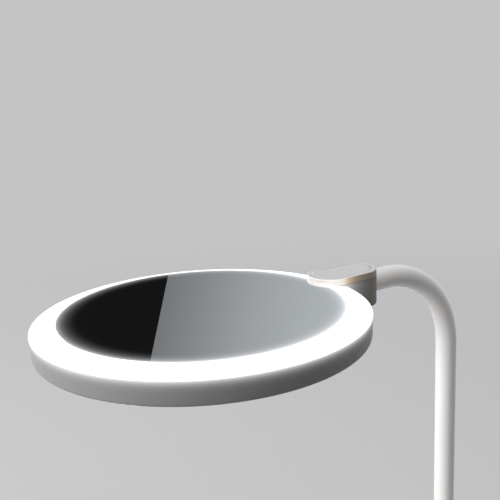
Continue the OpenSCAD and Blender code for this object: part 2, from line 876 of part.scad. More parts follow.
// The two white films that fold the light up into the ring
module reflectors() {
    foot_in = led_in + 0.1;
    lean = 0.9;
    top_in = tray_bottom - 0.2;
    top_out = rim_z - ring_lip - 0.2;
    color("white") at_head() difference() {
        rotate_extrude() {
            polygon([[foot_in, led_top], [foot_in + film_t, led_top],
                     [foot_in + film_t - lean, top_in], [foot_in - lean, top_in]]);
            translate([led_out - film_t, led_top]) square([film_t, top_out - led_top]);
        }
        block_space(2 * free_gap);
    }
}

// The plate behind the mirror, ribbed underneath
module mirror_tray() {
    color("white") at_head() difference() {
        union() {
            translate([0, 0, tray_bottom]) cylinder(r = tray_r, h = tray_t);
            translate([0, 0, tray_bottom - tray_rib_h]) {
                for (r = [tray_rib_in, tray_rib_out])
                    flat_ring(r + tray_rib_t / 2, r - tray_rib_t / 2, tray_rib_h + eps);
                around(tray_post_count) translate([tray_rib_in, -tray_rib_t / 2, 0])
                    cube([tray_rib_out - tray_rib_in, tray_rib_t, tray_rib_h + eps]);
            }
        }
        block_space(free_gap);
        around(tray_post_count, around_start) translate([tray_post_r, 0, tray_top])
            mirror([0, 0, 1]) sunk_hole(screw_r, screw_r, tray_t + 1);
    }
}

module tray_screws() {
    color("gray") at_head() around(tray_post_count, around_start)
        translate([tray_post_r, 0, tray_top]) mirror([0, 0, 1])
            sunk_screw(screw_r, screw_r, tray_screw_len);
}

module mirror_tape() {
    tape_inset = 4;
    color("dimgray") at_head() translate([0, 0, tray_top])
        cylinder(r = mirror_r - tape_inset, h = tape_t);
}

// The mirror, with a scallop for the hinge block's round end
module mirror_glass() {
    color("lightsteelblue") at_head() difference() {
        translate([0, 0, mirror_z - mirror_t]) rotate_extrude()
            polygon([[0, 0], [mirror_r, 0], [mirror_r, mirror_t - mirror_bevel],
                     [mirror_r - mirror_bevel, mirror_t], [0, mirror_t]]);
        block_space(free_gap);
    }
}

// Height of the light ring's face at a radius: a slope with a low bulge
function ring_face(r) =
    let (along = (head_r - r) / ring_w)
        rim_z + ring_foot + (ring_rise - ring_foot) * along + 4 * ring_bulge * along * (1 - along);

// The opal ring: a sloping face, a lip inside the shell's wall and a foot on the tray
module light_ring() {
    steps = 12;
    lip_out = head_r - shell_wall - 0.15;
    lip_in = lip_out - ring_lip_t;
    foot_out = ring_in + ring_t;
    face = [for (i = [0 : steps]) let (r = head_r - ring_w * i / steps) [r, ring_face(r)]];
    under = [for (i = [0 : steps]) let (r = foot_out + (lip_in - foot_out) * i / steps)
        [r, ring_face(r) - ring_t]];
    foot = [[ring_in, tray_top], [foot_out, tray_top]];
    lip = [[lip_in, rim_z - ring_lip], [lip_out, rim_z - ring_lip], [lip_out, rim_z]];
    color("white") at_head() difference() {
        rotate_extrude() polygon(concat([[head_r, rim_z]], face, foot, under, lip));
        block_space(free_gap);
    }
}

base_pad();
base_plate();
base_weight();
base_shell();
base_screws();
post_socket();
post_screws();
swing_stop_screw();
swing_ring();
swing_washer();
driver_board();
board_parts();
board_spacers();
board_screws();
usb_socket();
base_lead();
arm_tube();
foot_sleeve();
hinge_plug();
flip_stop_pin();
friction_washers();
disc_spring();
hinge_nut();
arm_cable();
head_shell();
hinge_cap();
touch_panel();
touch_board();
hinge_bush();
hinge_bracket();
bracket_screws();
cap_screws();
head_lead();
led_board();
led_chips();
led_screws();
reflectors();
mirror_tray();
tray_screws();
mirror_tape();
mirror_glass();  // mirror
light_ring();
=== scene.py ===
"""Touch lamp: finishes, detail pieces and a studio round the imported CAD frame."""

import math

import bmesh
import bpy
from bpy.props import FloatProperty, FloatVectorProperty, IntProperty, PointerProperty
from mathutils import Matrix, Vector


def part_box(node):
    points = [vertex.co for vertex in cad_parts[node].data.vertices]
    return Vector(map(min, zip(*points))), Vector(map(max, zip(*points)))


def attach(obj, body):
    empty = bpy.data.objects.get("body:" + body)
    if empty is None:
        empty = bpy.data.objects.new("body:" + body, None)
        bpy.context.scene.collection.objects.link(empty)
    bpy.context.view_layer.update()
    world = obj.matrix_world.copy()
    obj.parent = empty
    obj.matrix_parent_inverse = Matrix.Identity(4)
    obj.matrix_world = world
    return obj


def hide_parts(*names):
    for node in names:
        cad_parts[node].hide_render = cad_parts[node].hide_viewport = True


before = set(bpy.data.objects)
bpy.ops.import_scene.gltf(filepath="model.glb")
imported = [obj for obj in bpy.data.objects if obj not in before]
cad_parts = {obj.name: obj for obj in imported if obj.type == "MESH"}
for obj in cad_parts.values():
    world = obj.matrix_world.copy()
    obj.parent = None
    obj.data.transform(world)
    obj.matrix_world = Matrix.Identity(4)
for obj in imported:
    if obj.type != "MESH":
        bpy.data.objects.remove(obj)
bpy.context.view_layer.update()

bl_info = {
    "name": "Touch Lamp",
    "version": (1, 0, 0),
    "blender": (4, 5, 0),
    "location": "3D Viewport > Sidebar > Lamp",
    "description": "Finishes, detail pieces and a studio for a touch lamp with a mirror head",
    "category": "Object",
}

MM = 0.001

# Sizes of the CAD model that its nodes' boxes don't show
RING_RISE = 3.5 * MM
SEAM_GROOVE = 0.45 * MM


# Places read from the frame


def node_low(node):
    return Vector(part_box(node)[0])


def node_high(node):
    return Vector(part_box(node)[1])


def node_middle(node):
    return (node_low(node) + node_high(node)) / 2


def head_radius():
    return (node_high("light_ring").y - node_low("light_ring").y) / 2


def head_centre():
    """The middle of the mirror, at the height of its face."""
    return Vector((node_low("light_ring").x + head_radius(), 0.0, node_high("mirror").z))


def mirror_radius():
    return (node_high("mirror").y - node_low("mirror").y) / 2


def rim_height():
    """The height where the shell's side wall meets the light ring."""
    return node_high("mirror").z - RING_RISE


def arm_axis_height():
    return node_middle("hinge_bush").z


def post_axis_x():
    return node_middle("foot_sleeve").x


def tube_width():
    return node_high("arm_tube").y - node_low("arm_tube").y


# Sizes and colours that a user would change


def length(name, description, default, low, high):
    """A length, shown in the scene's unit."""
    return FloatProperty(name=name, description=description, default=default,
                         min=low, max=high, unit="LENGTH")


def amount(name, description, default, high):
    """A strength, power or share, from 0 up."""
    return FloatProperty(name=name, description=description, default=default,
                         min=0.0, max=high)


def colour(name, description, default):
    """A colour with its swatch."""
    return FloatVectorProperty(name=name, description=description, default=default,
                               subtype="COLOR", size=3, min=0.0, max=1.0)


class LampArmSizes(bpy.types.PropertyGroup):
    """Sizes of the bent tube"""

    tube_d: length("Tube diameter", "Outside of the tube", tube_width(), 10 * MM, 30 * MM)
    wall: length("Tube wall", "Thickness of the tube's wall", 1.2 * MM, 0.5 * MM, 2 * MM)
    bend: length("Bend radius", "Radius of the bend on the tube's axis",
                 61.5 * MM, 30 * MM, 100 * MM)
    swing: FloatProperty(
        name="Swing to a side", description="How far the slot lets the arm swing to each side",
        default=math.radians(45), min=0.0, max=math.radians(80), unit="ROTATION")
    around: IntProperty(
        name="Sides", description="Faces around the tube", default=72, min=24, max=160)
    bend_steps: IntProperty(
        name="Bend steps", description="Rings along the bend", default=56, min=12, max=160)


class LampTouchSizes(bpy.types.PropertyGroup):
    """Sizes of the touch panel's edge and face"""

    edge: length("Panel edge", "Radius of the panel's softened edge",
                 0.25 * MM, 0.05 * MM, 0.6 * MM)
    dip: length("Panel dip", "Depth of the shallow dip for the finger",
                0.12 * MM, 0.0, 0.5 * MM)


class LampChipSizes(bpy.types.PropertyGroup):
    """Sizes of the light chips and the inlet's contacts"""

    window: length("Chip window", "Diameter of the yellow window on a light chip",
                   2.1 * MM, 0.5 * MM, 2.6 * MM)
    contacts: IntProperty(
        name="Contacts", description="Contacts on each side of the inlet's tongue",
        default=12, min=4, max=12)
    contact_w: length("Contact width", "Width of one contact",
                      0.25 * MM, 0.1 * MM, 0.4 * MM)


class LampLightSettings(bpy.types.PropertyGroup):
    """How the light ring shines, and the glow painted round it on the mirror, the side wall, the
    cap and the hinge block
    """

    ring_strength: amount("Ring light", "Strength of the opal ring's light", 0.85, 20.0)
    # Painted light: the mirror's edge glow and haze are emission that stands in for the ring's
    # light spreading over the mirror
    edge_painted_glow: amount("Edge glow", "Light that leaks over the mirror's edge", 0.6, 3.0)
    edge_painted_glow_fade: length("Edge fade", "Distance over which the leaked light fades",
                      2.0 * MM, 0.1 * MM, 10 * MM)
    painted_haze_strength: amount("Haze", "Faint haze that reaches further over the mirror", 0.05, 1.0)
    painted_haze_reach: length("Haze reach", "Distance from the mirror's edge at which the haze ends",
                       12.0 * MM, 1.0 * MM, 50 * MM)
    # Painted light: the wall's glow is emission that stands in for the ring's light on the top of
    # the side wall
    wall_painted_glow: amount("Wall glow", "Light that shows through the top of the side wall",
                      0.7, 3.0)
    wall_painted_glow_fade: length("Wall fade", "Distance over which that light fades",
                      1.6 * MM, 0.1 * MM, 10 * MM)
    # Painted light: the cap's glow is emission that stands in for the ring's light falling on the
    # cap's side
    cap_painted_glow: amount("Cap glow", "Ring light that falls on the side of the cap", 0.62, 5.0)
    cap_painted_glow_fade: length("Cap fade", "Distance from the ring over which that light fades",
                     6.5 * MM, 0.1 * MM, 20 * MM)
    # Painted light: the block's glow is emission that stands in for the ring's light falling on
    # the block
    block_painted_glow: amount("Block glow", "Ring light that falls on the hinge block under the cap",
                       0.55, 5.0)
    block_painted_glow_fade: length("Block fade", "Distance from the ring over which that light fades",
                       6.3 * MM, 0.1 * MM, 20 * MM)


class LampFinishes(bpy.types.PropertyGroup):
    """Colours of the lamp's surfaces"""

    # Painted shade: the pan's grey is the white moulding darkened to stand in for the shade on its
    # side wall
    shell: colour("Shell", "Silver-grey moulded pan", (0.25, 0.25, 0.25))
    base: colour("Base", "White moulded base", (0.8, 0.79, 0.78))
    # Painted shade: the block's dark tone is the moulding darkened to stand in for its shade, with
    # a warmer cast of reflected light
    block: colour("Hinge block", "Lower side of the hinge block", (0.2, 0.182, 0.165))
    band: colour("Cap side", "Champagne side of the hinge block's cap", (0.27, 0.225, 0.185))
    cap: colour("Cap rim", "Rim of the cap round the touch panel", (0.61, 0.595, 0.58))
    panel: colour("Touch panel", "Face of the touch panel", (0.6, 0.6, 0.6))
    arm: colour("Arm", "Powder coat of the tube", (0.86, 0.84, 0.82))
    silver: colour("Mirror", "Silver of the mirror", (0.92, 0.93, 0.94))


class LampStudio(bpy.types.PropertyGroup):
    """The studio and the camera"""

    floor: colour("Floor", "Colour of the floor", (0.56, 0.56, 0.57))
    backdrop: colour("Backdrop", "Colour behind the lamp", (0.55, 0.55, 0.56))
    bounce: amount("Floor bounce", "Share of its colour that the floor throws back as light",
                   0.35, 1.0)
    ambient: amount("Ambient", "Strength of the even light from above", 0.5, 3.0)
    key_power: amount("Key light", "Power of the key light from the left", 112.0, 500.0)
    top_power: amount("Top light", "Power of the light from above", 58.0, 500.0)
    fill_power: amount("Fill light", "Power of the weak light from the front", 5.0, 500.0)
    rim_power: amount("Rim light", "Power of the weak light from behind on the left",
                      22.0, 500.0)
    lens: FloatProperty(
        name="Lens", description="Focal length on a 36 mm frame",
        default=55.43, min=10.0, max=300.0)


# Node helpers


class Nodes:
    """A short way to add nodes and links to one tree."""

    def __init__(self, tree):
        self.tree = tree

    def add(self, kind, inputs=None, **values):
        """A node with these properties, and with these inputs linked or set."""
        node = self.tree.nodes.new(kind)
        for name, value in values.items():
            setattr(node, name, value)
        for socket, value in (inputs or {}).items():
            self.feed(node.inputs[socket], value)
        return node

    def feed(self, socket, value):
        """Links an output to the socket, or sets the socket to a plain value."""
        if isinstance(value, bpy.types.NodeSocket):
            self.tree.links.new(value, socket)
        else:
            socket.default_value = value

    def math(self, operation, a, b=0.0):
        return self.add("ShaderNodeMath", {0: a, 1: b}, operation=operation).outputs[0]

    def distance(self, a, b):
        """The length of a step with these two sides."""
        square = self.math("ADD", self.math("MULTIPLY", a, a), self.math("MULTIPLY", b, b))
        return self.math("SQRT", square)

    def fade(self, distance, reach):
        """exp(-distance / reach), never above 1."""
        scaled = self.math("DIVIDE", distance, -reach)
        return self.math("MINIMUM", self.math("EXPONENT", scaled), 1.0)

    def ramp(self, value, low, high, to_low=0.0, to_high=1.0, smooth=True):
        inputs = {"Value": value, "From Min": low, "From Max": high,
                  "To Min": to_low, "To Max": to_high}
        node = self.add("ShaderNodeMapRange", inputs, clamp=True,
                        interpolation_type="SMOOTHSTEP" if smooth else "LINEAR")
        return node.outputs["Result"]

    def change(self, value, edge, span, to_low=0.0, to_high=1.0):
        """A ramp over a span of millimetres from an edge."""
        return self.ramp(value, edge + span[0] * MM, edge + span[1] * MM, to_low, to_high)

    def split(self, vector):
        """The three numbers of a vector."""
        return tuple(self.add("ShaderNodeSeparateXYZ", {0: vector}).outputs)

    def along(self, vector, axis):
        """How far a vector goes along an axis."""
        node = self.add("ShaderNodeVectorMath", {0: vector, 1: axis}, operation="DOT_PRODUCT")
        return node.outputs["Value"]

    def mix(self, factor, a, b):
        """A mix of two colours, each an output or plain red, green and blue."""
        a, b = (tone if isinstance(tone, bpy.types.NodeSocket) else (*tone, 1.0)
                for tone in (a, b))
        return self.add("ShaderNodeMix", {0: factor, 6: a, 7: b}, data_type="RGBA").outputs[2]

    def shown(self):
        """1 for the rays that show a thing, directly, in gloss or through glass."""
        rays = self.add("ShaderNodeLightPath").outputs
        seen = self.math("MAXIMUM", rays["Is Camera Ray"], rays["Is Glossy Ray"])
        return self.math("MAXIMUM", seen, rays["Is Transmission Ray"])


class GeometryTree(Nodes):
    """A Geometry Nodes tree with named inputs, which ends in one material."""

    def __init__(self, name, inputs, material):
        super().__init__(bpy.data.node_groups.new(name, "GeometryNodeTree"))
        self.material = material
        self.values = {}
        for label, (kind, value) in inputs.items():
            socket = self.tree.interface.new_socket(
                label, in_out="INPUT", socket_type="NodeSocket" + kind)
            self.values[socket.identifier] = value
        self.tree.interface.new_socket(
            "Geometry", in_out="OUTPUT", socket_type="NodeSocketGeometry")
        self.group_input = self.add("NodeGroupInput")

    def given(self, label):
        return self.group_input.outputs[label]

    def vector(self, x=0.0, y=0.0, z=0.0):
        return self.add("ShaderNodeCombineXYZ", {0: x, 1: y, 2: z}).outputs[0]

    def shifted(self, vector, offset):
        node = self.add("ShaderNodeVectorMath", {0: vector, 1: offset}, operation="ADD")
        return node.outputs[0]

    def moved(self, geometry, offset):
        node = self.add("GeometryNodeTransform", {"Geometry": geometry, "Translation": offset})
        return node.outputs[0]

    def copies(self, points, shape, turn=(0.0, 0.0, 0.0)):
        node = self.add("GeometryNodeInstanceOnPoints",
                        {"Points": points, "Instance": shape, "Rotation": turn})
        return node.outputs[0]

    def swept(self, path, profile):
        """A closed rod along a path."""
        node = self.add("GeometryNodeCurveToMesh",
                        {"Curve": path, "Profile Curve": profile, "Fill Caps": True})
        return node.outputs[0]

    def cut(self, body, *cutters):
        node = self.add("GeometryNodeMeshBoolean", {"Mesh 1": body},
                        operation="DIFFERENCE", solver="EXACT")
        for cutter in cutters:
            self.feed(node.inputs["Mesh 2"], cutter)
        return node.outputs["Mesh"]

    def bake(self, name, geometry):
        """Closes the tree, runs it on an empty mesh and returns the plain result."""
        whole = self.add("GeometryNodeRealizeInstances", {0: geometry}).outputs[0]
        painted = self.add("GeometryNodeSetMaterial",
                           {"Geometry": whole, "Material": self.material}).outputs[0]
        self.add("NodeGroupOutput", {0: painted})
        carrier = placed(name + "_carrier", bpy.data.meshes.new(name + "_carrier"))
        modifier = carrier.modifiers.new("build", "NODES")
        modifier.node_group = self.tree
        for identifier, value in self.values.items():
            modifier[identifier] = value
        bpy.context.view_layer.update()
        shape = carrier.evaluated_get(bpy.context.evaluated_depsgraph_get())
        mesh = bpy.data.meshes.new_from_object(shape)
        carrier.modifiers.remove(modifier)
        bpy.data.objects.remove(carrier)
        if not mesh.polygons:
            raise RuntimeError(name + " came out empty")
        mesh.name = name
        return placed(name, mesh)


def placed(name, data):
    """An object at the origin with this mesh, light or camera."""
    piece = bpy.data.objects.new(name, data)
    bpy.context.scene.collection.objects.link(piece)
    return piece


def smooth_by_angle(piece, degrees=35.0):
    """Soft faces, with sharp edges where the surface turns quickly."""
    for face in piece.data.polygons:
        face.use_smooth = True
    piece.data.set_sharp_from_angle(angle=math.radians(degrees))


# Finishes

# The part of a noise's range that its values mostly fill
NOISE_SPAN = (0.3, 0.7)
# How far the roughness of a plain finish drifts to each side
ROUGH_SPREAD = 0.06
# Where the shell's colour turns from the pan's to the block's, both painted shade, and where the
# wall's painted glow starts, in millimetres from the rim
RIM_TO_BLOCK_UP = (0.0, 0.1)
RIM_TO_BLOCK_OUT = (0.1, 3.5)
PAINTED_GLOW_INSIDE_TO_OUTSIDE = (-2.0, -1.0)
# Where the cap's colour and its painted glow change, in millimetres from its top, seam, the rim or
# the mirror's edge
CAP_SIDE_TO_TOP = (-0.6, -0.25)
CAP_PAINTED_LIGHT_END = (-0.3, -0.05)
CAP_PAINTED_LIGHT_START = (-0.05, 0.05)
CAP_PAINTED_WARMTH = (-5.0, 1.0)
CAP_NOSE_PAINTED_LIGHT = (-2.0, 4.0)
NOSE_PAINTED_LIGHT_SHARE = 0.7
# The painted ring light on the cap is full up to this far inside the rim
CAP_PAINTED_LIGHT_INSET = 1.0 * MM
# Colours of the painted glow on the shell and the cap
WHITE_PAINTED_GLOW = (1.0, 1.0, 1.0)
WARM_PAINTED_GLOW = (1.0, 0.74, 0.52)


class Surface(Nodes):
    """A material made of nodes on Object coordinates."""

    def __init__(self, name):
        self.material = bpy.data.materials.new(name)
        self.material.use_nodes = True
        super().__init__(self.material.node_tree)
        self.shader = self.tree.nodes["Principled BSDF"]
        self.place = self.add("ShaderNodeTexCoord").outputs["Object"]

    def put(self, values):
        """Links or sets inputs of the shader."""
        for label, value in values.items():
            self.feed(self.shader.inputs[label], value)

    def noise(self, scale, detail=2.0, roughness=0.5):
        inputs = {"Vector": self.place, "Scale": scale, "Detail": detail,
                  "Roughness": roughness}
        return self.add("ShaderNodeTexNoise", inputs).outputs["Fac"]

    def shades(self, tone, spread, scale):
        """The colour with soft lighter and darker patches."""
        low = [max(0.0, c * (1 - spread)) for c in tone]
        high = [min(1.0, c * (1 + spread)) for c in tone]
        return self.mix(self.noise(scale), low, high)

    def drift(self, scale, low, high, detail=2.0):
        """A number that drifts between two values in soft patches."""
        return self.ramp(self.noise(scale, detail), *NOISE_SPAN, low, high)

    def relief(self, height, strength, distance):
        """Lifts the surface by a height."""
        inputs = {"Strength": strength, "Distance": distance, "Height": height}
        self.put({"Normal": self.add("ShaderNodeBump", inputs).outputs["Normal"]})

    def grain(self, scale, strength, distance=0.05 * MM, detail=2.0):
        """Fine relief from noise."""
        self.relief(self.noise(scale, detail), strength, distance)

    def from_head(self):
        """Distance from the head's axis and height, of a point on the head."""
        x, y, z = self.split(self.place)
        return self.distance(self.math("SUBTRACT", x, head_centre().x), y), z

    def from_ring(self, radius, height):
        """Distance from the light ring's face, of a point above or beside it."""
        rim_r, rim_z = head_radius(), rim_height()
        slope = RING_RISE / (rim_r - mirror_radius())
        inside = self.math("MAXIMUM", self.math("SUBTRACT", rim_r, radius), 0.0)
        face = self.math("ADD", self.math("MULTIPLY", inside, slope), rim_z)
        beyond = self.math("MAXIMUM", self.math("SUBTRACT", radius, rim_r), 0.0)
        return self.distance(self.math("SUBTRACT", height, face), beyond)


def plain_finish(name, tone, roughness, metallic=0.0, spread=0.03, patch=60.0):
    """A moulded, coated or rolled surface with slight patches and a fine grain."""
    surface = Surface(name)
    low, high = roughness - ROUGH_SPREAD, roughness + ROUGH_SPREAD
    surface.put({
        "Base Color": surface.shades(tone, spread, patch),
        "Roughness": surface.drift(patch * 4, low, high),
        "Metallic": metallic,
    })
    surface.grain(scale=900.0, strength=0.15)
    return surface.material


def shell_finish(finish, light):
    """Grey pan and warmer, darker hinge block, both the white moulding darkened as painted shade,
    with a painted glow of the ring's light where they are near it.
    """
    surface = Surface("moulded_silver")
    radius, height = surface.from_head()
    on_block = surface.math(
        "MAXIMUM", surface.change(height, rim_height(), RIM_TO_BLOCK_UP),
        surface.change(radius, head_radius(), RIM_TO_BLOCK_OUT))
    # Painted shade: the pan's and the block's colours are the white moulding darkened to stand in
    # for the shade on their sides, the block's with a warmer cast
    pan = surface.shades(finish.shell, spread=0.02, scale=40.0)
    block = surface.shades(finish.block, spread=0.03, scale=90.0)
    # Painted light: the top of the wall and the block glow near the ring, standing in for its
    # light falling on them; neither is a lamp
    away = surface.from_ring(radius, height)
    outside = surface.change(radius, head_radius(), PAINTED_GLOW_INSIDE_TO_OUTSIDE)
    wall_painted_light = surface.math("MULTIPLY", surface.fade(away, light.wall_painted_glow_fade),
                            surface.math("MULTIPLY", outside, light.wall_painted_glow))
    block_painted_light = surface.math("MULTIPLY", surface.fade(away, light.block_painted_glow_fade),
                             light.block_painted_glow)
    lit = surface.add("ShaderNodeMix", {0: on_block, 2: wall_painted_light, 3: block_painted_light},
                      data_type="FLOAT")
    surface.put({
        "Base Color": surface.mix(on_block, pan, block),
        "Roughness": surface.drift(220.0, low=0.36, high=0.46),
        "Specular IOR Level": 0.2,
        "Emission Strength": lit.outputs[0],
        "Emission Color": (*WHITE_PAINTED_GLOW, 1.0),
    })
    surface.grain(scale=1400.0, strength=0.12, distance=0.03 * MM)
    return surface.material


def cap_finish(finish, light):
    """The cap: light grey round the panel, with a champagne side that carries a painted glow of
    the ring's light.
    """
    surface = Surface("cap_champagne")
    radius, height = surface.from_head()
    roof = node_high("hinge_cap").z
    seam_top = node_low("hinge_cap").z + SEAM_GROOVE
    rim_r = head_radius()
    top = surface.shades(finish.cap, spread=0.02, scale=60.0)
    side = surface.shades(finish.band, spread=0.03, scale=120.0)
    painted_warmth = surface.change(radius, rim_r, CAP_PAINTED_WARMTH)
    # Painted light: glow on the cap's side that stands in for the ring's light, whiter near the
    # rim and warmer further off, none in the seam's groove and less at the nose
    beyond = surface.math("SUBTRACT", radius, rim_r - CAP_PAINTED_LIGHT_INSET)
    lit = surface.math("MULTIPLY", surface.fade(beyond, light.cap_painted_glow_fade), light.cap_painted_glow)
    for share in (surface.change(height, roof, CAP_PAINTED_LIGHT_END, 1.0, 0.0),
                  surface.change(height, seam_top, CAP_PAINTED_LIGHT_START),
                  surface.change(radius, mirror_radius(), CAP_NOSE_PAINTED_LIGHT, NOSE_PAINTED_LIGHT_SHARE, 1.0)):
        lit = surface.math("MULTIPLY", lit, share)
    surface.put({
        "Base Color": surface.mix(surface.change(height, roof, CAP_SIDE_TO_TOP), side, top),
        "Roughness": surface.drift(260.0, low=0.32, high=0.42),
        "Emission Strength": lit,
        "Emission Color": surface.mix(painted_warmth, WHITE_PAINTED_GLOW, WARM_PAINTED_GLOW),
    })
    surface.grain(scale=1500.0, strength=0.1, distance=0.03 * MM)
    return surface.material


def panel_finish(finish):
    """Light grey touch panel with a silky, very fine grain."""
    surface = Surface("touch_panel_grey")
    surface.put({
        "Base Color": surface.shades(finish.panel, spread=0.015, scale=80.0),
        "Roughness": surface.drift(500.0, low=0.3, high=0.38, detail=4.0),
        "Coat Weight": 0.25,
        "Coat Roughness": 0.2,
    })
    surface.grain(scale=2600.0, strength=0.08, distance=0.02 * MM)
    return surface.material


def coat_finish(name, finish):
    """Satin powder coat with the soft ripple of orange peel."""
    surface = Surface(name)
    surface.put({
        "Base Color": surface.shades(finish.arm, spread=0.015, scale=50.0),
        "Roughness": surface.drift(300.0, low=0.3, high=0.4, detail=3.0),
        "Coat Weight": 0.8,
        "Coat Roughness": 0.25,
    })
    surface.grain(scale=650.0, strength=0.14, detail=3.0)
    return surface.material


def opal_finish(light):
    """Opal ring: white and lit, with the faintest unevenness."""
    surface = Surface("opal_lit")
    uneven = surface.drift(70.0, low=0.94, high=1.0)
    surface.put({
        "Base Color": surface.shades((0.85, 0.85, 0.85), spread=0.01, scale=50.0),
        "Roughness": 0.3,
        "Emission Strength": surface.math("MULTIPLY", uneven, light.ring_strength),
        "Emission Color": (1.0, 0.995, 0.985, 1.0),
    })
    surface.grain(scale=1800.0, strength=0.08, distance=0.02 * MM)
    return surface.material


def mirror_finish(finish, light):
    """Silvered glass, with a painted glow of the ring's light along the edge and a faint painted
    haze further in.
    """
    surface = Surface("mirror_silver")
    wiped = surface.noise(scale=24.0, detail=5.0, roughness=0.6)
    inward = surface.math("SUBTRACT", mirror_radius(), surface.from_head()[0])
    # Painted light: the mirror is no lamp; its edge glow and haze stand in for the ring's light
    # spreading over it
    glow = surface.math("MULTIPLY", surface.fade(inward, light.edge_painted_glow_fade), light.edge_painted_glow)
    haze = surface.ramp(inward, 0.0, light.painted_haze_reach, light.painted_haze_strength, 0.0)
    surface.put({
        "Base Color": (*finish.silver, 1.0),
        "Metallic": 1.0,
        "Roughness": surface.ramp(wiped, 0.45, 0.75, to_low=0.0, to_high=0.012),
        "Emission Strength": surface.math("ADD", glow, haze),
        "Emission Color": (0.99, 0.985, 1.0, 1.0),
    })
    return surface.material


def board_finish(name, lacquer, track):
    """Circuit board: lacquer over faint copper tracks."""
    surface = Surface(name)
    tracks = surface.add("ShaderNodeTexBrick", {
        "Vector": surface.place, "Scale": 260.0, "Mortar Size": 0.04,
        "Color1": (*lacquer, 1.0), "Color2": (*(c * 0.93 for c in lacquer), 1.0),
        "Mortar": (*track, 1.0)}, offset=0.5)
    surface.put({
        "Base Color": tracks.outputs["Color"],
        "Roughness": surface.drift(400.0, low=0.3, high=0.42),
    })
    return surface.material


def foam_finish():
    """Closed-cell foam: dark, dull and pitted."""
    surface = Surface("foam_black")
    pits = surface.add("ShaderNodeTexVoronoi",
                       {"Vector": surface.place, "Scale": 1600.0}).outputs["Distance"]
    tone = surface.mix(surface.ramp(pits, 0.0, 0.5),
                       (0.012, 0.012, 0.012), (0.05, 0.05, 0.052))
    surface.put({"Base Color": tone, "Roughness": 0.9})
    surface.relief(pits, strength=0.5, distance=0.1 * MM)
    return surface.material


def metal_finish(name, tone, roughness):
    """Plated metal with faint tool lines."""
    surface = Surface(name)
    lines = surface.add("ShaderNodeTexWave", {
        "Vector": surface.place, "Scale": 900.0, "Distortion": 1.5},
        wave_type="RINGS", rings_direction="Z").outputs["Fac"]
    surface.put({
        "Base Color": surface.shades(tone, spread=0.08, scale=150.0),
        "Metallic": 1.0,
        "Roughness": surface.ramp(lines, 0.0, 1.0, roughness - 0.05, roughness + 0.08),
    })
    return surface.material


def dress(material, *names):
    """Puts a material in every slot of these CAD nodes."""
    for name in names:
        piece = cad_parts[name]
        if not piece.material_slots:
            piece.data.materials.append(material)
        for slot in piece.material_slots:
            slot.material = material


# The bent tube

BORE_PAST_END = 2 * MM
HOLE_SIDES = 32
HOLE_DEPTH = 8 * MM
HOLE_CLEARANCE = 0.02 * MM
SLOT_STEPS = 40
SLOT_CLEARANCE = 0.2 * MM
# Depth of the slot's cutter against the tube's wall
SLOT_CUT = 2.4


def bent_path(tree, foot, corner, end):
    """A line from the foot to the end, rounded at the corner."""
    line = tree.add("GeometryNodeMeshLine", {"Count": 3}, mode="OFFSET")
    index = tree.add("GeometryNodeInputIndex").outputs[0]
    place = end
    for number, point in ((1, corner), (0, foot)):
        here = tree.add("FunctionNodeCompare", {2: index, 3: number},
                        data_type="INT", operation="EQUAL").outputs[0]
        switch = tree.add("GeometryNodeSwitch", {"Switch": here, "False": place, "True": point},
                          input_type="VECTOR")
        place = switch.outputs[0]
    put = tree.add("GeometryNodeSetPosition", {"Geometry": line.outputs[0], "Position": place})
    curve = tree.add("GeometryNodeMeshToCurve", {0: put.outputs[0]})
    fillet = tree.add("GeometryNodeFilletCurve", {
        "Curve": curve.outputs[0], "Count": tree.given("Bend steps"),
        "Radius": tree.given("Bend radius")}, mode="POLY")
    return fillet.outputs[0]


def bent_rod(tree, radius, past_end):
    """A round rod along the arm's path, which may run a little past both ends."""
    ring = tree.add("GeometryNodeCurvePrimitiveCircle",
                    {"Resolution": tree.given("Sides"), "Radius": radius}, mode="RADIUS")
    foot = tree.shifted(tree.given("Foot"), (0.0, 0.0, -past_end))
    end = tree.shifted(tree.given("End"), (-past_end, 0.0, 0.0))
    return tree.swept(bent_path(tree, foot, tree.given("Corner"), end), ring.outputs[0])


def pin_hole(tree):
    """The hole in the top of the tube's end, for the pin that limits the flip."""
    hole = tree.add("GeometryNodeMeshCylinder", {
        "Vertices": HOLE_SIDES, "Depth": HOLE_DEPTH, "Radius": tree.given("Pin hole radius")})
    return tree.moved(hole.outputs["Mesh"], tree.given("Pin hole place"))


def swing_slot(tree):
    """The slot round the tube's foot, for the screw that limits the swing."""
    wall, half_turn = tree.given("Wall"), tree.given("Slot half turn")
    middle = tree.math("SUBTRACT", tree.given("Tube radius"), tree.math("MULTIPLY", wall, 0.5))
    arc = tree.add("GeometryNodeCurveArc", {
        "Resolution": SLOT_STEPS, "Radius": middle,
        "Start Angle": tree.math("MULTIPLY", half_turn, -1.0),
        "Sweep Angle": tree.math("MULTIPLY", half_turn, 2.0)}, mode="RADIUS")
    upright = tree.add("GeometryNodeSetCurveNormal", {"Curve": arc.outputs[0]}, mode="Z_UP")
    section = tree.add("GeometryNodeCurvePrimitiveQuadrilateral", {
        "Width": tree.math("MULTIPLY", wall, SLOT_CUT), "Height": tree.given("Slot height")},
        mode="RECTANGLE")
    slot = tree.swept(upright.outputs[0], section.outputs[0])
    return tree.moved(slot, tree.given("Slot place"))


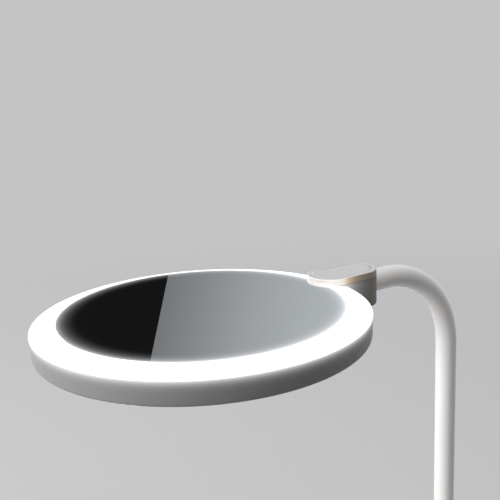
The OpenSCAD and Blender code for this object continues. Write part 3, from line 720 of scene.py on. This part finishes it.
def make_arm_tube(arm, material):
    """The bent tube, with the pin's hole at one end and the swing slot at the other."""
    low = node_low("arm_tube")
    axis_z, post_x = arm_axis_height(), post_axis_x()
    pin = node_high("flip_stop_pin") - node_low("flip_stop_pin")
    screw = node_high("swing_stop_screw") - node_low("swing_stop_screw")
    slot_h = screw.z + SLOT_CLEARANCE
    half_turn = arm.swing + math.asin(slot_h / 2 / (arm.tube_d / 2 - arm.wall))
    tree = GeometryTree("bent_tube", {
        "Tube radius": ("Float", arm.tube_d / 2),
        "Wall": ("Float", arm.wall),
        "Bend radius": ("Float", arm.bend),
        "Foot": ("Vector", (post_x, 0.0, low.z)),
        "Corner": ("Vector", (post_x, 0.0, axis_z)),
        "End": ("Vector", (low.x, 0.0, axis_z)),
        "Sides": ("Int", arm.around),
        "Bend steps": ("Int", arm.bend_steps),
        "Pin hole radius": ("Float", pin.x / 2 + HOLE_CLEARANCE),
        "Pin hole place": ("Vector", (node_middle("flip_stop_pin").x, 0.0,
                                      axis_z + arm.tube_d / 2)),
        "Slot height": ("Float", slot_h),
        "Slot place": ("Vector", (post_x, 0.0, node_middle("swing_stop_screw").z)),
        "Slot half turn": ("Float", half_turn),
    }, material)
    outside = bent_rod(tree, tree.given("Tube radius"), 0.0)
    bore = tree.math("SUBTRACT", tree.given("Tube radius"), tree.given("Wall"))
    inside = bent_rod(tree, bore, BORE_PAST_END)
    shape = tree.cut(outside, inside, pin_hole(tree), swing_slot(tree))
    return tree.bake("arm_tube_coated", shape)


# The touch panel

END_STEPS = 40
EDGE_RINGS = 6
# Rings across the dip, from the softened edge to near the middle
DIP_SHARES = (0.06, 0.15, 0.3, 0.45, 0.6, 0.75, 0.9)


def bar_outline(bar_length, radius):
    """Points round a flat bar with round ends, its long axis on X."""
    points = []
    for side in (1, -1):
        start = -math.pi / 2 if side > 0 else math.pi / 2
        for i in range(END_STEPS + 1):
            angle = start + math.pi * i / END_STEPS
            points.append((side * (bar_length / 2 - radius) + radius * math.cos(angle),
                           radius * math.sin(angle)))
    return points


def panel_levels(touch, half_width, low_z, high_z):
    """Inset and height of each outline, from the underside to the middle of the face."""
    levels = [(0.0, low_z)]
    for i in range(EDGE_RINGS):
        angle = math.pi / 2 * i / (EDGE_RINGS - 1)
        levels.append((touch.edge * (1 - math.cos(angle)),
                       high_z - touch.edge * (1 - math.sin(angle))))
    for share in DIP_SHARES:
        inset = touch.edge + (half_width - touch.edge) * share
        levels.append((inset, high_z - touch.dip * (1 - math.cos(math.pi * share)) / 2))
    return levels


def make_touch_panel(touch, material):
    """The panel: a round-ended plate with a soft edge and a shallow dip for the finger."""
    low, high = node_low("touch_panel"), node_high("touch_panel")
    middle = (low + high) / 2
    panel_length, half_width = high.x - low.x, (high.y - low.y) / 2
    shape = bmesh.new()
    rings = []
    for inset, z in panel_levels(touch, half_width, low.z, high.z):
        outline = bar_outline(panel_length - 2 * inset, half_width - inset)
        rings.append([shape.verts.new((middle.x + x, middle.y + y, z)) for x, y in outline])
    for lower, upper in zip(rings, rings[1:]):
        for i in range(len(lower)):
            j = (i + 1) % len(lower)
            shape.faces.new((lower[i], lower[j], upper[j], upper[i]))
    shape.faces.new(rings[-1])
    shape.faces.new(list(reversed(rings[0])))
    bmesh.ops.recalc_face_normals(shape, faces=shape.faces[:])
    mesh = bpy.data.meshes.new("touch_panel_face")
    shape.to_mesh(mesh)
    shape.free()
    mesh.materials.append(material)
    piece = placed("touch_panel_face", mesh)
    smooth_by_angle(piece, 50.0)
    return piece


# The light chips and the inlet's contacts

# Degrees from one chip to the next
CHIP_STEP = 5
CHIP_SIZE = Vector((3.5, 2.8, 0.8)) * MM
WINDOW_SIDES = 20
WINDOW_HEIGHT = 0.1 * MM
# Top of a window against its foot
WINDOW_TAPER = 0.85
CONTACT_PITCH = 0.5 * MM
CONTACT_LENGTH = 3.6 * MM
CONTACT_HEIGHT = 0.06 * MM
TONGUE_THICK = 0.7 * MM
TONGUE_FROM_MOUTH = 3.3 * MM


def chip_turns():
    """The turns of the light chips about the head's axis, in steps, read from the CAD chips."""
    centre = head_centre()
    turns = set()
    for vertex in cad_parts["led_chips"].data.vertices:
        turn = math.degrees(math.atan2(vertex.co.y, vertex.co.x - centre.x)) % 360
        turns.add(round(turn / CHIP_STEP))
    return sorted(turns)


def chip_tree(name, chips, material):
    """A tree with the inputs that both chip pieces share."""
    low = node_low("led_chips")
    centre = head_centre()
    turns = chip_turns()
    return GeometryTree(name, {
        "Ring radius": ("Float", centre.x - low.x - CHIP_SIZE.x / 2),
        "Count": ("Int", len(turns)),
        "Start turn": ("Float", math.radians(CHIP_STEP * turns[0])),
        "Sweep turn": ("Float", math.radians(CHIP_STEP * (turns[-1] - turns[0]))),
        "Centre": ("Vector", (centre.x, 0.0, low.z)),
        "Chip size": ("Vector", CHIP_SIZE),
        "Window diameter": ("Float", chips.window),
    }, material)


def bake_chip_ring(tree, name, shape):
    """A piece of copies of a shape round the head, each turned to face the axis."""
    arc = tree.add("GeometryNodeCurveArc", {
        "Resolution": tree.given("Count"), "Radius": tree.given("Ring radius"),
        "Start Angle": tree.given("Start turn"), "Sweep Angle": tree.given("Sweep turn")},
        mode="RADIUS")
    points = tree.add("GeometryNodeCurveToPoints", {"Curve": arc.outputs[0]}, mode="EVALUATED")
    x, y, _ = tree.split(tree.add("GeometryNodeInputPosition").outputs[0])
    ring = tree.copies(points.outputs["Points"], shape,
                       tree.vector(z=tree.math("ARCTAN2", y, x)))
    return tree.bake(name, tree.moved(ring, tree.given("Centre")))


def make_chip_bodies(chips, material):
    """The white bodies of the light chips."""
    tree = chip_tree("chip_bodies", chips, material)
    size = tree.given("Chip size")
    body = tree.add("GeometryNodeMeshCube", {"Size": size}).outputs["Mesh"]
    half_height = tree.math("MULTIPLY", tree.split(size)[2], 0.5)
    return bake_chip_ring(tree, "chip_bodies", tree.moved(body, tree.vector(z=half_height)))


def make_chip_windows(chips, material):
    """The yellow windows on top of the light chips."""
    tree = chip_tree("chip_windows", chips, material)
    radius = tree.math("MULTIPLY", tree.given("Window diameter"), 0.5)
    window = tree.add("GeometryNodeMeshCone", {
        "Vertices": WINDOW_SIDES, "Depth": WINDOW_HEIGHT, "Radius Bottom": radius,
        "Radius Top": tree.math("MULTIPLY", radius, WINDOW_TAPER)}).outputs["Mesh"]
    height = tree.split(tree.given("Chip size"))[2]
    return bake_chip_ring(tree, "chip_windows", tree.moved(window, tree.vector(z=height)))


def make_contacts(chips, material):
    """The contacts along both sides of the inlet's tongue."""
    middle = node_middle("usb_socket")
    mouth = node_high("usb_socket").y
    tree = GeometryTree("inlet_contacts", {
        "Count": ("Int", chips.contacts),
        "Pitch": ("Float", CONTACT_PITCH),
        "Contact size": ("Vector", (chips.contact_w, CONTACT_LENGTH, CONTACT_HEIGHT)),
        "Tongue thickness": ("Float", TONGUE_THICK),
        "Middle": ("Vector", (middle.x, mouth - TONGUE_FROM_MOUTH, middle.z)),
    }, material)
    count, pitch = tree.given("Count"), tree.given("Pitch")
    pad = tree.add("GeometryNodeMeshCube", {"Size": tree.given("Contact size")})
    span = tree.math("MULTIPLY", tree.math("SUBTRACT", count, 1.0), pitch)
    start = tree.math("MULTIPLY", span, -0.5)
    join = tree.add("GeometryNodeJoinGeometry")
    for side in (-0.5, 0.5):
        level = tree.math("MULTIPLY", tree.given("Tongue thickness"), side)
        line = tree.add("GeometryNodeMeshLine", {
            "Count": count, "Start Location": tree.vector(x=start, z=level),
            "Offset": tree.vector(x=pitch)}, mode="OFFSET")
        tree.feed(join.inputs[0], tree.copies(line.outputs[0], pad.outputs["Mesh"]))
    return tree.bake("inlet_contacts", tree.moved(join.outputs[0], tree.given("Middle")))


# Studio

UP = Vector((0.0, 0.0, 1.0))
# The photograph's camera, fitted to the head, the bend and the hinge block
CAMERA_TURN = math.radians(32.92)
CAMERA_PITCH = math.radians(13.56)
CAMERA_ROLL = math.radians(-2.73)
CAMERA_OFFSET = Vector((-211.40, -381.70, 142.37)) * MM
SENSOR_WIDTH = 36.0
CLIP_NEAR = 0.01
CLIP_FAR = 100.0
FLOOR_RADIUS = 6.0
FLOOR_SIDES = 96
# Distances from the middle between which the floor gives way to the backdrop
FLOOR_FADE = (0.5, 1.9)
# Share of the even light that comes from the horizon
HORIZON_SHARE = 0.08
# What the mirror shows: the plane between the dark flag and the soft box
FLAG_NORMAL = Vector((0.8283, -0.4937, 0.2649))
FLAG_WIDTH = 0.28
FLAG_TONE = (0.0075, 0.0075, 0.0075)
# How far ahead of the camera, as a cosine, the flag still stands
FLAG_AHEAD = 0.6
# Brightness of the pale studio in what shines, against the distance from that plane
SOFT_BOX = ((-1.0, 0.72), (-0.3, 0.62), (-0.04, 0.4), (0.0, 0.194), (0.0456, 0.258),
            (0.1175, 0.371), (0.1887, 0.45), (0.35, 0.56), (0.6, 0.66), (1.0, 0.72))
SOFT_BOX_TINT = (0.95, 1.0, 1.04)
# What shines shows this low down, up to these heights of a direction
LOW_TONE = (0.78, 0.79, 0.8)
LOW_SPAN = (0.06, 0.16)
# Each light's place from the head (right, ahead, up), its width and its height, in metres
LIGHTS = {
    "key": ((-2.82, -1.0, 0.26), 2.4, 1.2),
    "top": ((0.3, 0.6, 2.8), 2.4, 2.4),
    "fill": ((0.8, -2.4, 0.1), 1.6, 1.6),
    "rim": ((-2.5, 1.65, 0.3), 1.8, 1.2),
}


def camera_axes():
    """The camera's level right and level ahead directions."""
    right = Vector((math.cos(CAMERA_TURN), -math.sin(CAMERA_TURN), 0.0))
    ahead = Vector((math.sin(CAMERA_TURN), math.cos(CAMERA_TURN), 0.0))
    return right, ahead


def make_camera(studio):
    """The camera stands where the photograph's did."""
    level_right, level_ahead = camera_axes()
    ahead = level_ahead * math.cos(CAMERA_PITCH) - UP * math.sin(CAMERA_PITCH)
    above = level_ahead * math.sin(CAMERA_PITCH) + UP * math.cos(CAMERA_PITCH)
    right = level_right * math.cos(CAMERA_ROLL) + above * math.sin(CAMERA_ROLL)
    above = right.cross(ahead)
    data = bpy.data.cameras.new("camera")
    data.lens = studio.lens
    data.sensor_width = SENSOR_WIDTH
    data.clip_start = CLIP_NEAR
    data.clip_end = CLIP_FAR
    camera = placed("camera", data)
    turn = Matrix((right, above, -ahead)).transposed().to_4x4()
    rim = Vector((head_centre().x, 0.0, rim_height()))
    camera.matrix_world = Matrix.Translation(rim + CAMERA_OFFSET) @ turn
    bpy.context.scene.camera = camera


def make_floor(studio):
    """A round floor whose far part gives way to the backdrop."""
    mesh = bpy.data.meshes.new("floor")
    shape = bmesh.new()
    bmesh.ops.create_circle(shape, cap_ends=True, segments=FLOOR_SIDES,
                            radius=FLOOR_RADIUS)
    shape.to_mesh(mesh)
    shape.free()
    floor = placed("floor", mesh)
    surface = Surface("studio_floor")
    dim = [c * studio.bounce for c in studio.floor]
    reach = surface.add("ShaderNodeVectorMath", {0: surface.place}, operation="LENGTH")
    away = surface.ramp(reach.outputs["Value"], *FLOOR_FADE)
    surface.put({
        "Base Color": surface.mix(surface.shown(), dim, studio.floor),
        "Roughness": 0.9,
        "Specular IOR Level": 0.1,
        "Alpha": surface.math("SUBTRACT", 1.0, away),
    })
    mesh.materials.append(surface.material)


def make_world(studio):
    """Even light from above, a pale backdrop, and a dark flag among what shines."""
    world = bpy.data.worlds.new("studio")
    world.use_nodes = True
    bpy.context.scene.world = world
    world.node_tree.nodes.clear()
    nodes = Nodes(world.node_tree)
    direction = nodes.add("ShaderNodeTexCoord").outputs["Generated"]
    height = nodes.split(direction)[2]
    from_flag = nodes.along(direction, FLAG_NORMAL)
    soft_box = nodes.add("ShaderNodeValToRGB",
                         {0: nodes.ramp(from_flag, -1.0, 1.0, smooth=False)})
    stops = soft_box.color_ramp.elements
    while len(stops) < len(SOFT_BOX):
        stops.new(0.5)
    for stop, (place, level) in zip(stops, SOFT_BOX):
        stop.position = (place + 1) / 2
        stop.color = (*(min(1.0, level * share) for share in SOFT_BOX_TINT), 1.0)
    flag = nodes.add("ShaderNodeMath", {0: from_flag, 1: FLAG_WIDTH * -0.5, 2: FLAG_WIDTH * 0.5},
                     operation="COMPARE").outputs[0]
    in_front = nodes.math("GREATER_THAN", nodes.along(direction, camera_axes()[1]), FLAG_AHEAD)
    flag = nodes.math("MULTIPLY", flag, in_front)
    shine = nodes.mix(flag, soft_box.outputs["Color"], FLAG_TONE)
    shine = nodes.mix(nodes.ramp(height, *LOW_SPAN), LOW_TONE, shine)
    gloss = nodes.add("ShaderNodeLightPath").outputs["Is Glossy Ray"]
    overhead = nodes.ramp(height, 0.0, 1.0, HORIZON_SHARE, 1.0, smooth=False)
    even = nodes.add("ShaderNodeBackground",
                     {"Strength": nodes.math("MULTIPLY", overhead, studio.ambient)})
    backdrop = nodes.add("ShaderNodeBackground",
                         {"Color": nodes.mix(gloss, studio.backdrop, shine)})
    both = nodes.add("ShaderNodeMixShader",
                     {0: nodes.shown(), 1: even.outputs[0], 2: backdrop.outputs[0]})
    nodes.add("ShaderNodeOutputWorld", {0: both.outputs[0]})


def make_lights(studio):
    """A large key light from the left, one from above and weak ones in front and behind."""
    right, ahead = camera_axes()
    for name, (steps, width, height) in LIGHTS.items():
        place = right * steps[0] + ahead * steps[1] + UP * steps[2]
        data = bpy.data.lights.new(name, "AREA")
        data.shape = "RECTANGLE"
        data.size = width
        data.size_y = height
        data.energy = getattr(studio, name + "_power")
        lamp = placed(name, data)
        # The mirror would show the light from above as a white patch
        lamp.visible_glossy = name != "top"
        lamp.location = head_centre() + place
        lamp.rotation_mode = "QUATERNION"
        lamp.rotation_quaternion = (-place).to_track_quat("-Z", "Y")


# Operators


class LAMP_OT_head(bpy.types.Operator):
    """Dress the head's shell and the cap of its hinge block"""

    bl_idname = "lamp.head"
    bl_label = "Head Shell and Cap"

    def execute(self, context):
        finish, light = context.scene.lamp_finish, context.scene.lamp_light
        dress(shell_finish(finish, light), "head_shell")
        dress(cap_finish(finish, light), "hinge_cap")
        return {"FINISHED"}


class LAMP_OT_touch_panel(bpy.types.Operator):
    """Build the touch panel with its soft edge"""

    bl_idname = "lamp.touch_panel"
    bl_label = "Touch Panel"

    def execute(self, context):
        panel = make_touch_panel(context.scene.lamp_touch, panel_finish(context.scene.lamp_finish))
        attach(panel, "head")
        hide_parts("touch_panel")
        return {"FINISHED"}


class LAMP_OT_mirror_and_ring(bpy.types.Operator):
    """Dress the mirror and light the opal ring"""

    bl_idname = "lamp.mirror_and_ring"
    bl_label = "Mirror and Light Ring"

    def execute(self, context):
        light = context.scene.lamp_light
        dress(opal_finish(light), "light_ring")
        dress(mirror_finish(context.scene.lamp_finish, light), "mirror")
        return {"FINISHED"}


class LAMP_OT_light_chips(bpy.types.Operator):
    """Set the light chips round the head's board"""

    bl_idname = "lamp.light_chips"
    bl_label = "Light Chips"

    def execute(self, context):
        chips = context.scene.lamp_chips
        ceramic = plain_finish("chip_ceramic", (0.78, 0.78, 0.76), 0.4)
        phosphor = plain_finish("chip_phosphor", (0.85, 0.62, 0.08), 0.3, spread=0.06, patch=900.0)
        bodies = make_chip_bodies(chips, ceramic)
        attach(bodies, "head")
        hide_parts("led_chips")
        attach(make_chip_windows(chips, phosphor), "head")
        return {"FINISHED"}


class LAMP_OT_arm_tube(bpy.types.Operator):
    """Sweep the bent tube along its path"""

    bl_idname = "lamp.arm_tube"
    bl_label = "Arm Tube"

    def execute(self, context):
        coat = coat_finish("powder_coat_white", context.scene.lamp_finish)
        tube = make_arm_tube(context.scene.lamp_arm, coat)
        smooth_by_angle(tube)
        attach(tube, "arm")
        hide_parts("arm_tube")
        return {"FINISHED"}


class LAMP_OT_base(bpy.types.Operator):
    """Dress the base, the post's collar and the pad"""

    bl_idname = "lamp.base"
    bl_label = "Base"

    def execute(self, context):
        finish = context.scene.lamp_finish
        dress(plain_finish("base_white", finish.base, 0.42), "base_shell")
        dress(coat_finish("collar_coat", finish), "post_socket")
        dress(foam_finish(), "base_pad", "mirror_tape")
        dress(plain_finish("seal_black", (0.02, 0.02, 0.02), 0.55), "swing_ring")
        return {"FINISHED"}


class LAMP_OT_inlet(bpy.types.Operator):
    """Dress the power inlet and lay its contacts"""

    bl_idname = "lamp.inlet"
    bl_label = "Power Inlet"

    def execute(self, context):
        dress(metal_finish("inlet_steel", (0.6, 0.6, 0.62), 0.28), "usb_socket")
        gold = metal_finish("contact_gold", (0.85, 0.6, 0.25), 0.25)
        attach(make_contacts(context.scene.lamp_chips, gold), "base")
        return {"FINISHED"}


class LAMP_OT_inner_pieces(bpy.types.Operator):
    """Dress the pieces inside the base, the arm and the head"""

    bl_idname = "lamp.inner_pieces"
    bl_label = "Inner Pieces"

    def execute(self, context):
        dress(plain_finish("cast_weight", (0.09, 0.09, 0.1), 0.6, metallic=0.7,
                           spread=0.2, patch=200.0), "base_weight")
        dress(metal_finish("plated_steel", (0.62, 0.62, 0.64), 0.35), "base_plate",
              "foot_sleeve", "hinge_plug", "flip_stop_pin", "disc_spring", "hinge_nut",
              "hinge_bracket")
        dress(metal_finish("screw_steel", (0.5, 0.5, 0.52), 0.3), "base_screws", "post_screws",
              "board_screws", "bracket_screws", "cap_screws", "led_screws", "tray_screws",
              "swing_stop_screw")
        dress(plain_finish("acetal_ivory", (0.78, 0.75, 0.66), 0.4), "swing_washer",
              "board_spacers", "friction_washers", "hinge_bush")
        dress(board_finish("board_green", (0.01, 0.1, 0.035), (0.03, 0.16, 0.06)),
              "driver_board", "touch_board")
        dress(board_finish("board_white", (0.8, 0.8, 0.78), (0.62, 0.6, 0.55)), "led_board")
        dress(plain_finish("chip_black", (0.02, 0.02, 0.022), 0.5), "board_parts")
        dress(plain_finish("cable_black", (0.015, 0.015, 0.015), 0.6), "base_lead", "arm_cable",
              "head_lead")
        dress(plain_finish("tray_white", (0.72, 0.72, 0.72), 0.5), "mirror_tray")
        dress(plain_finish("film_white", (0.9, 0.9, 0.9), 0.25), "reflectors")
        return {"FINISHED"}


class LAMP_OT_studio(bpy.types.Operator):
    """Build the floor, the lights, the world and the camera"""

    bl_idname = "lamp.studio"
    bl_label = "Studio"

    def execute(self, context):
        studio = context.scene.lamp_studio
        make_floor(studio)
        make_world(studio)
        make_lights(studio)
        make_camera(studio)
        context.scene.view_settings.view_transform = "Standard"
        return {"FINISHED"}


OPERATORS = (LAMP_OT_head, LAMP_OT_touch_panel, LAMP_OT_mirror_and_ring, LAMP_OT_light_chips,
             LAMP_OT_arm_tube, LAMP_OT_base, LAMP_OT_inlet, LAMP_OT_inner_pieces, LAMP_OT_studio)
GROUPS = {"lamp_arm": LampArmSizes, "lamp_touch": LampTouchSizes, "lamp_chips": LampChipSizes,
          "lamp_light": LampLightSettings, "lamp_finish": LampFinishes, "lamp_studio": LampStudio}


class LAMP_PT_panel(bpy.types.Panel):
    """Lists the lamp's settings and operators"""

    bl_idname = "LAMP_PT_panel"
    bl_label = "Touch Lamp"
    bl_space_type = "VIEW_3D"
    bl_region_type = "UI"
    bl_category = "Lamp"

    def draw(self, context):
        for name, kind in GROUPS.items():
            box = self.layout.box()
            for key in kind.__annotations__:
                box.prop(getattr(context.scene, name), key)
        for operator in OPERATORS:
            self.layout.operator(operator.bl_idname)


def register():
    for name, group in GROUPS.items():
        bpy.utils.register_class(group)
        setattr(bpy.types.Scene, name, PointerProperty(type=group))
    for operator in OPERATORS:
        bpy.utils.register_class(operator)
    bpy.utils.register_class(LAMP_PT_panel)


def unregister():
    bpy.utils.unregister_class(LAMP_PT_panel)
    for operator in reversed(OPERATORS):
        bpy.utils.unregister_class(operator)
    for name, group in reversed(list(GROUPS.items())):
        delattr(bpy.types.Scene, name)
        bpy.utils.unregister_class(group)


def main():
    register()
    bpy.ops.lamp.head()
    bpy.ops.lamp.touch_panel()
    bpy.ops.lamp.mirror_and_ring()
    bpy.ops.lamp.light_chips()
    bpy.ops.lamp.arm_tube()
    bpy.ops.lamp.base()
    bpy.ops.lamp.inlet()
    bpy.ops.lamp.inner_pieces()
    bpy.ops.lamp.studio()


if __name__ == "__main__":
    main()
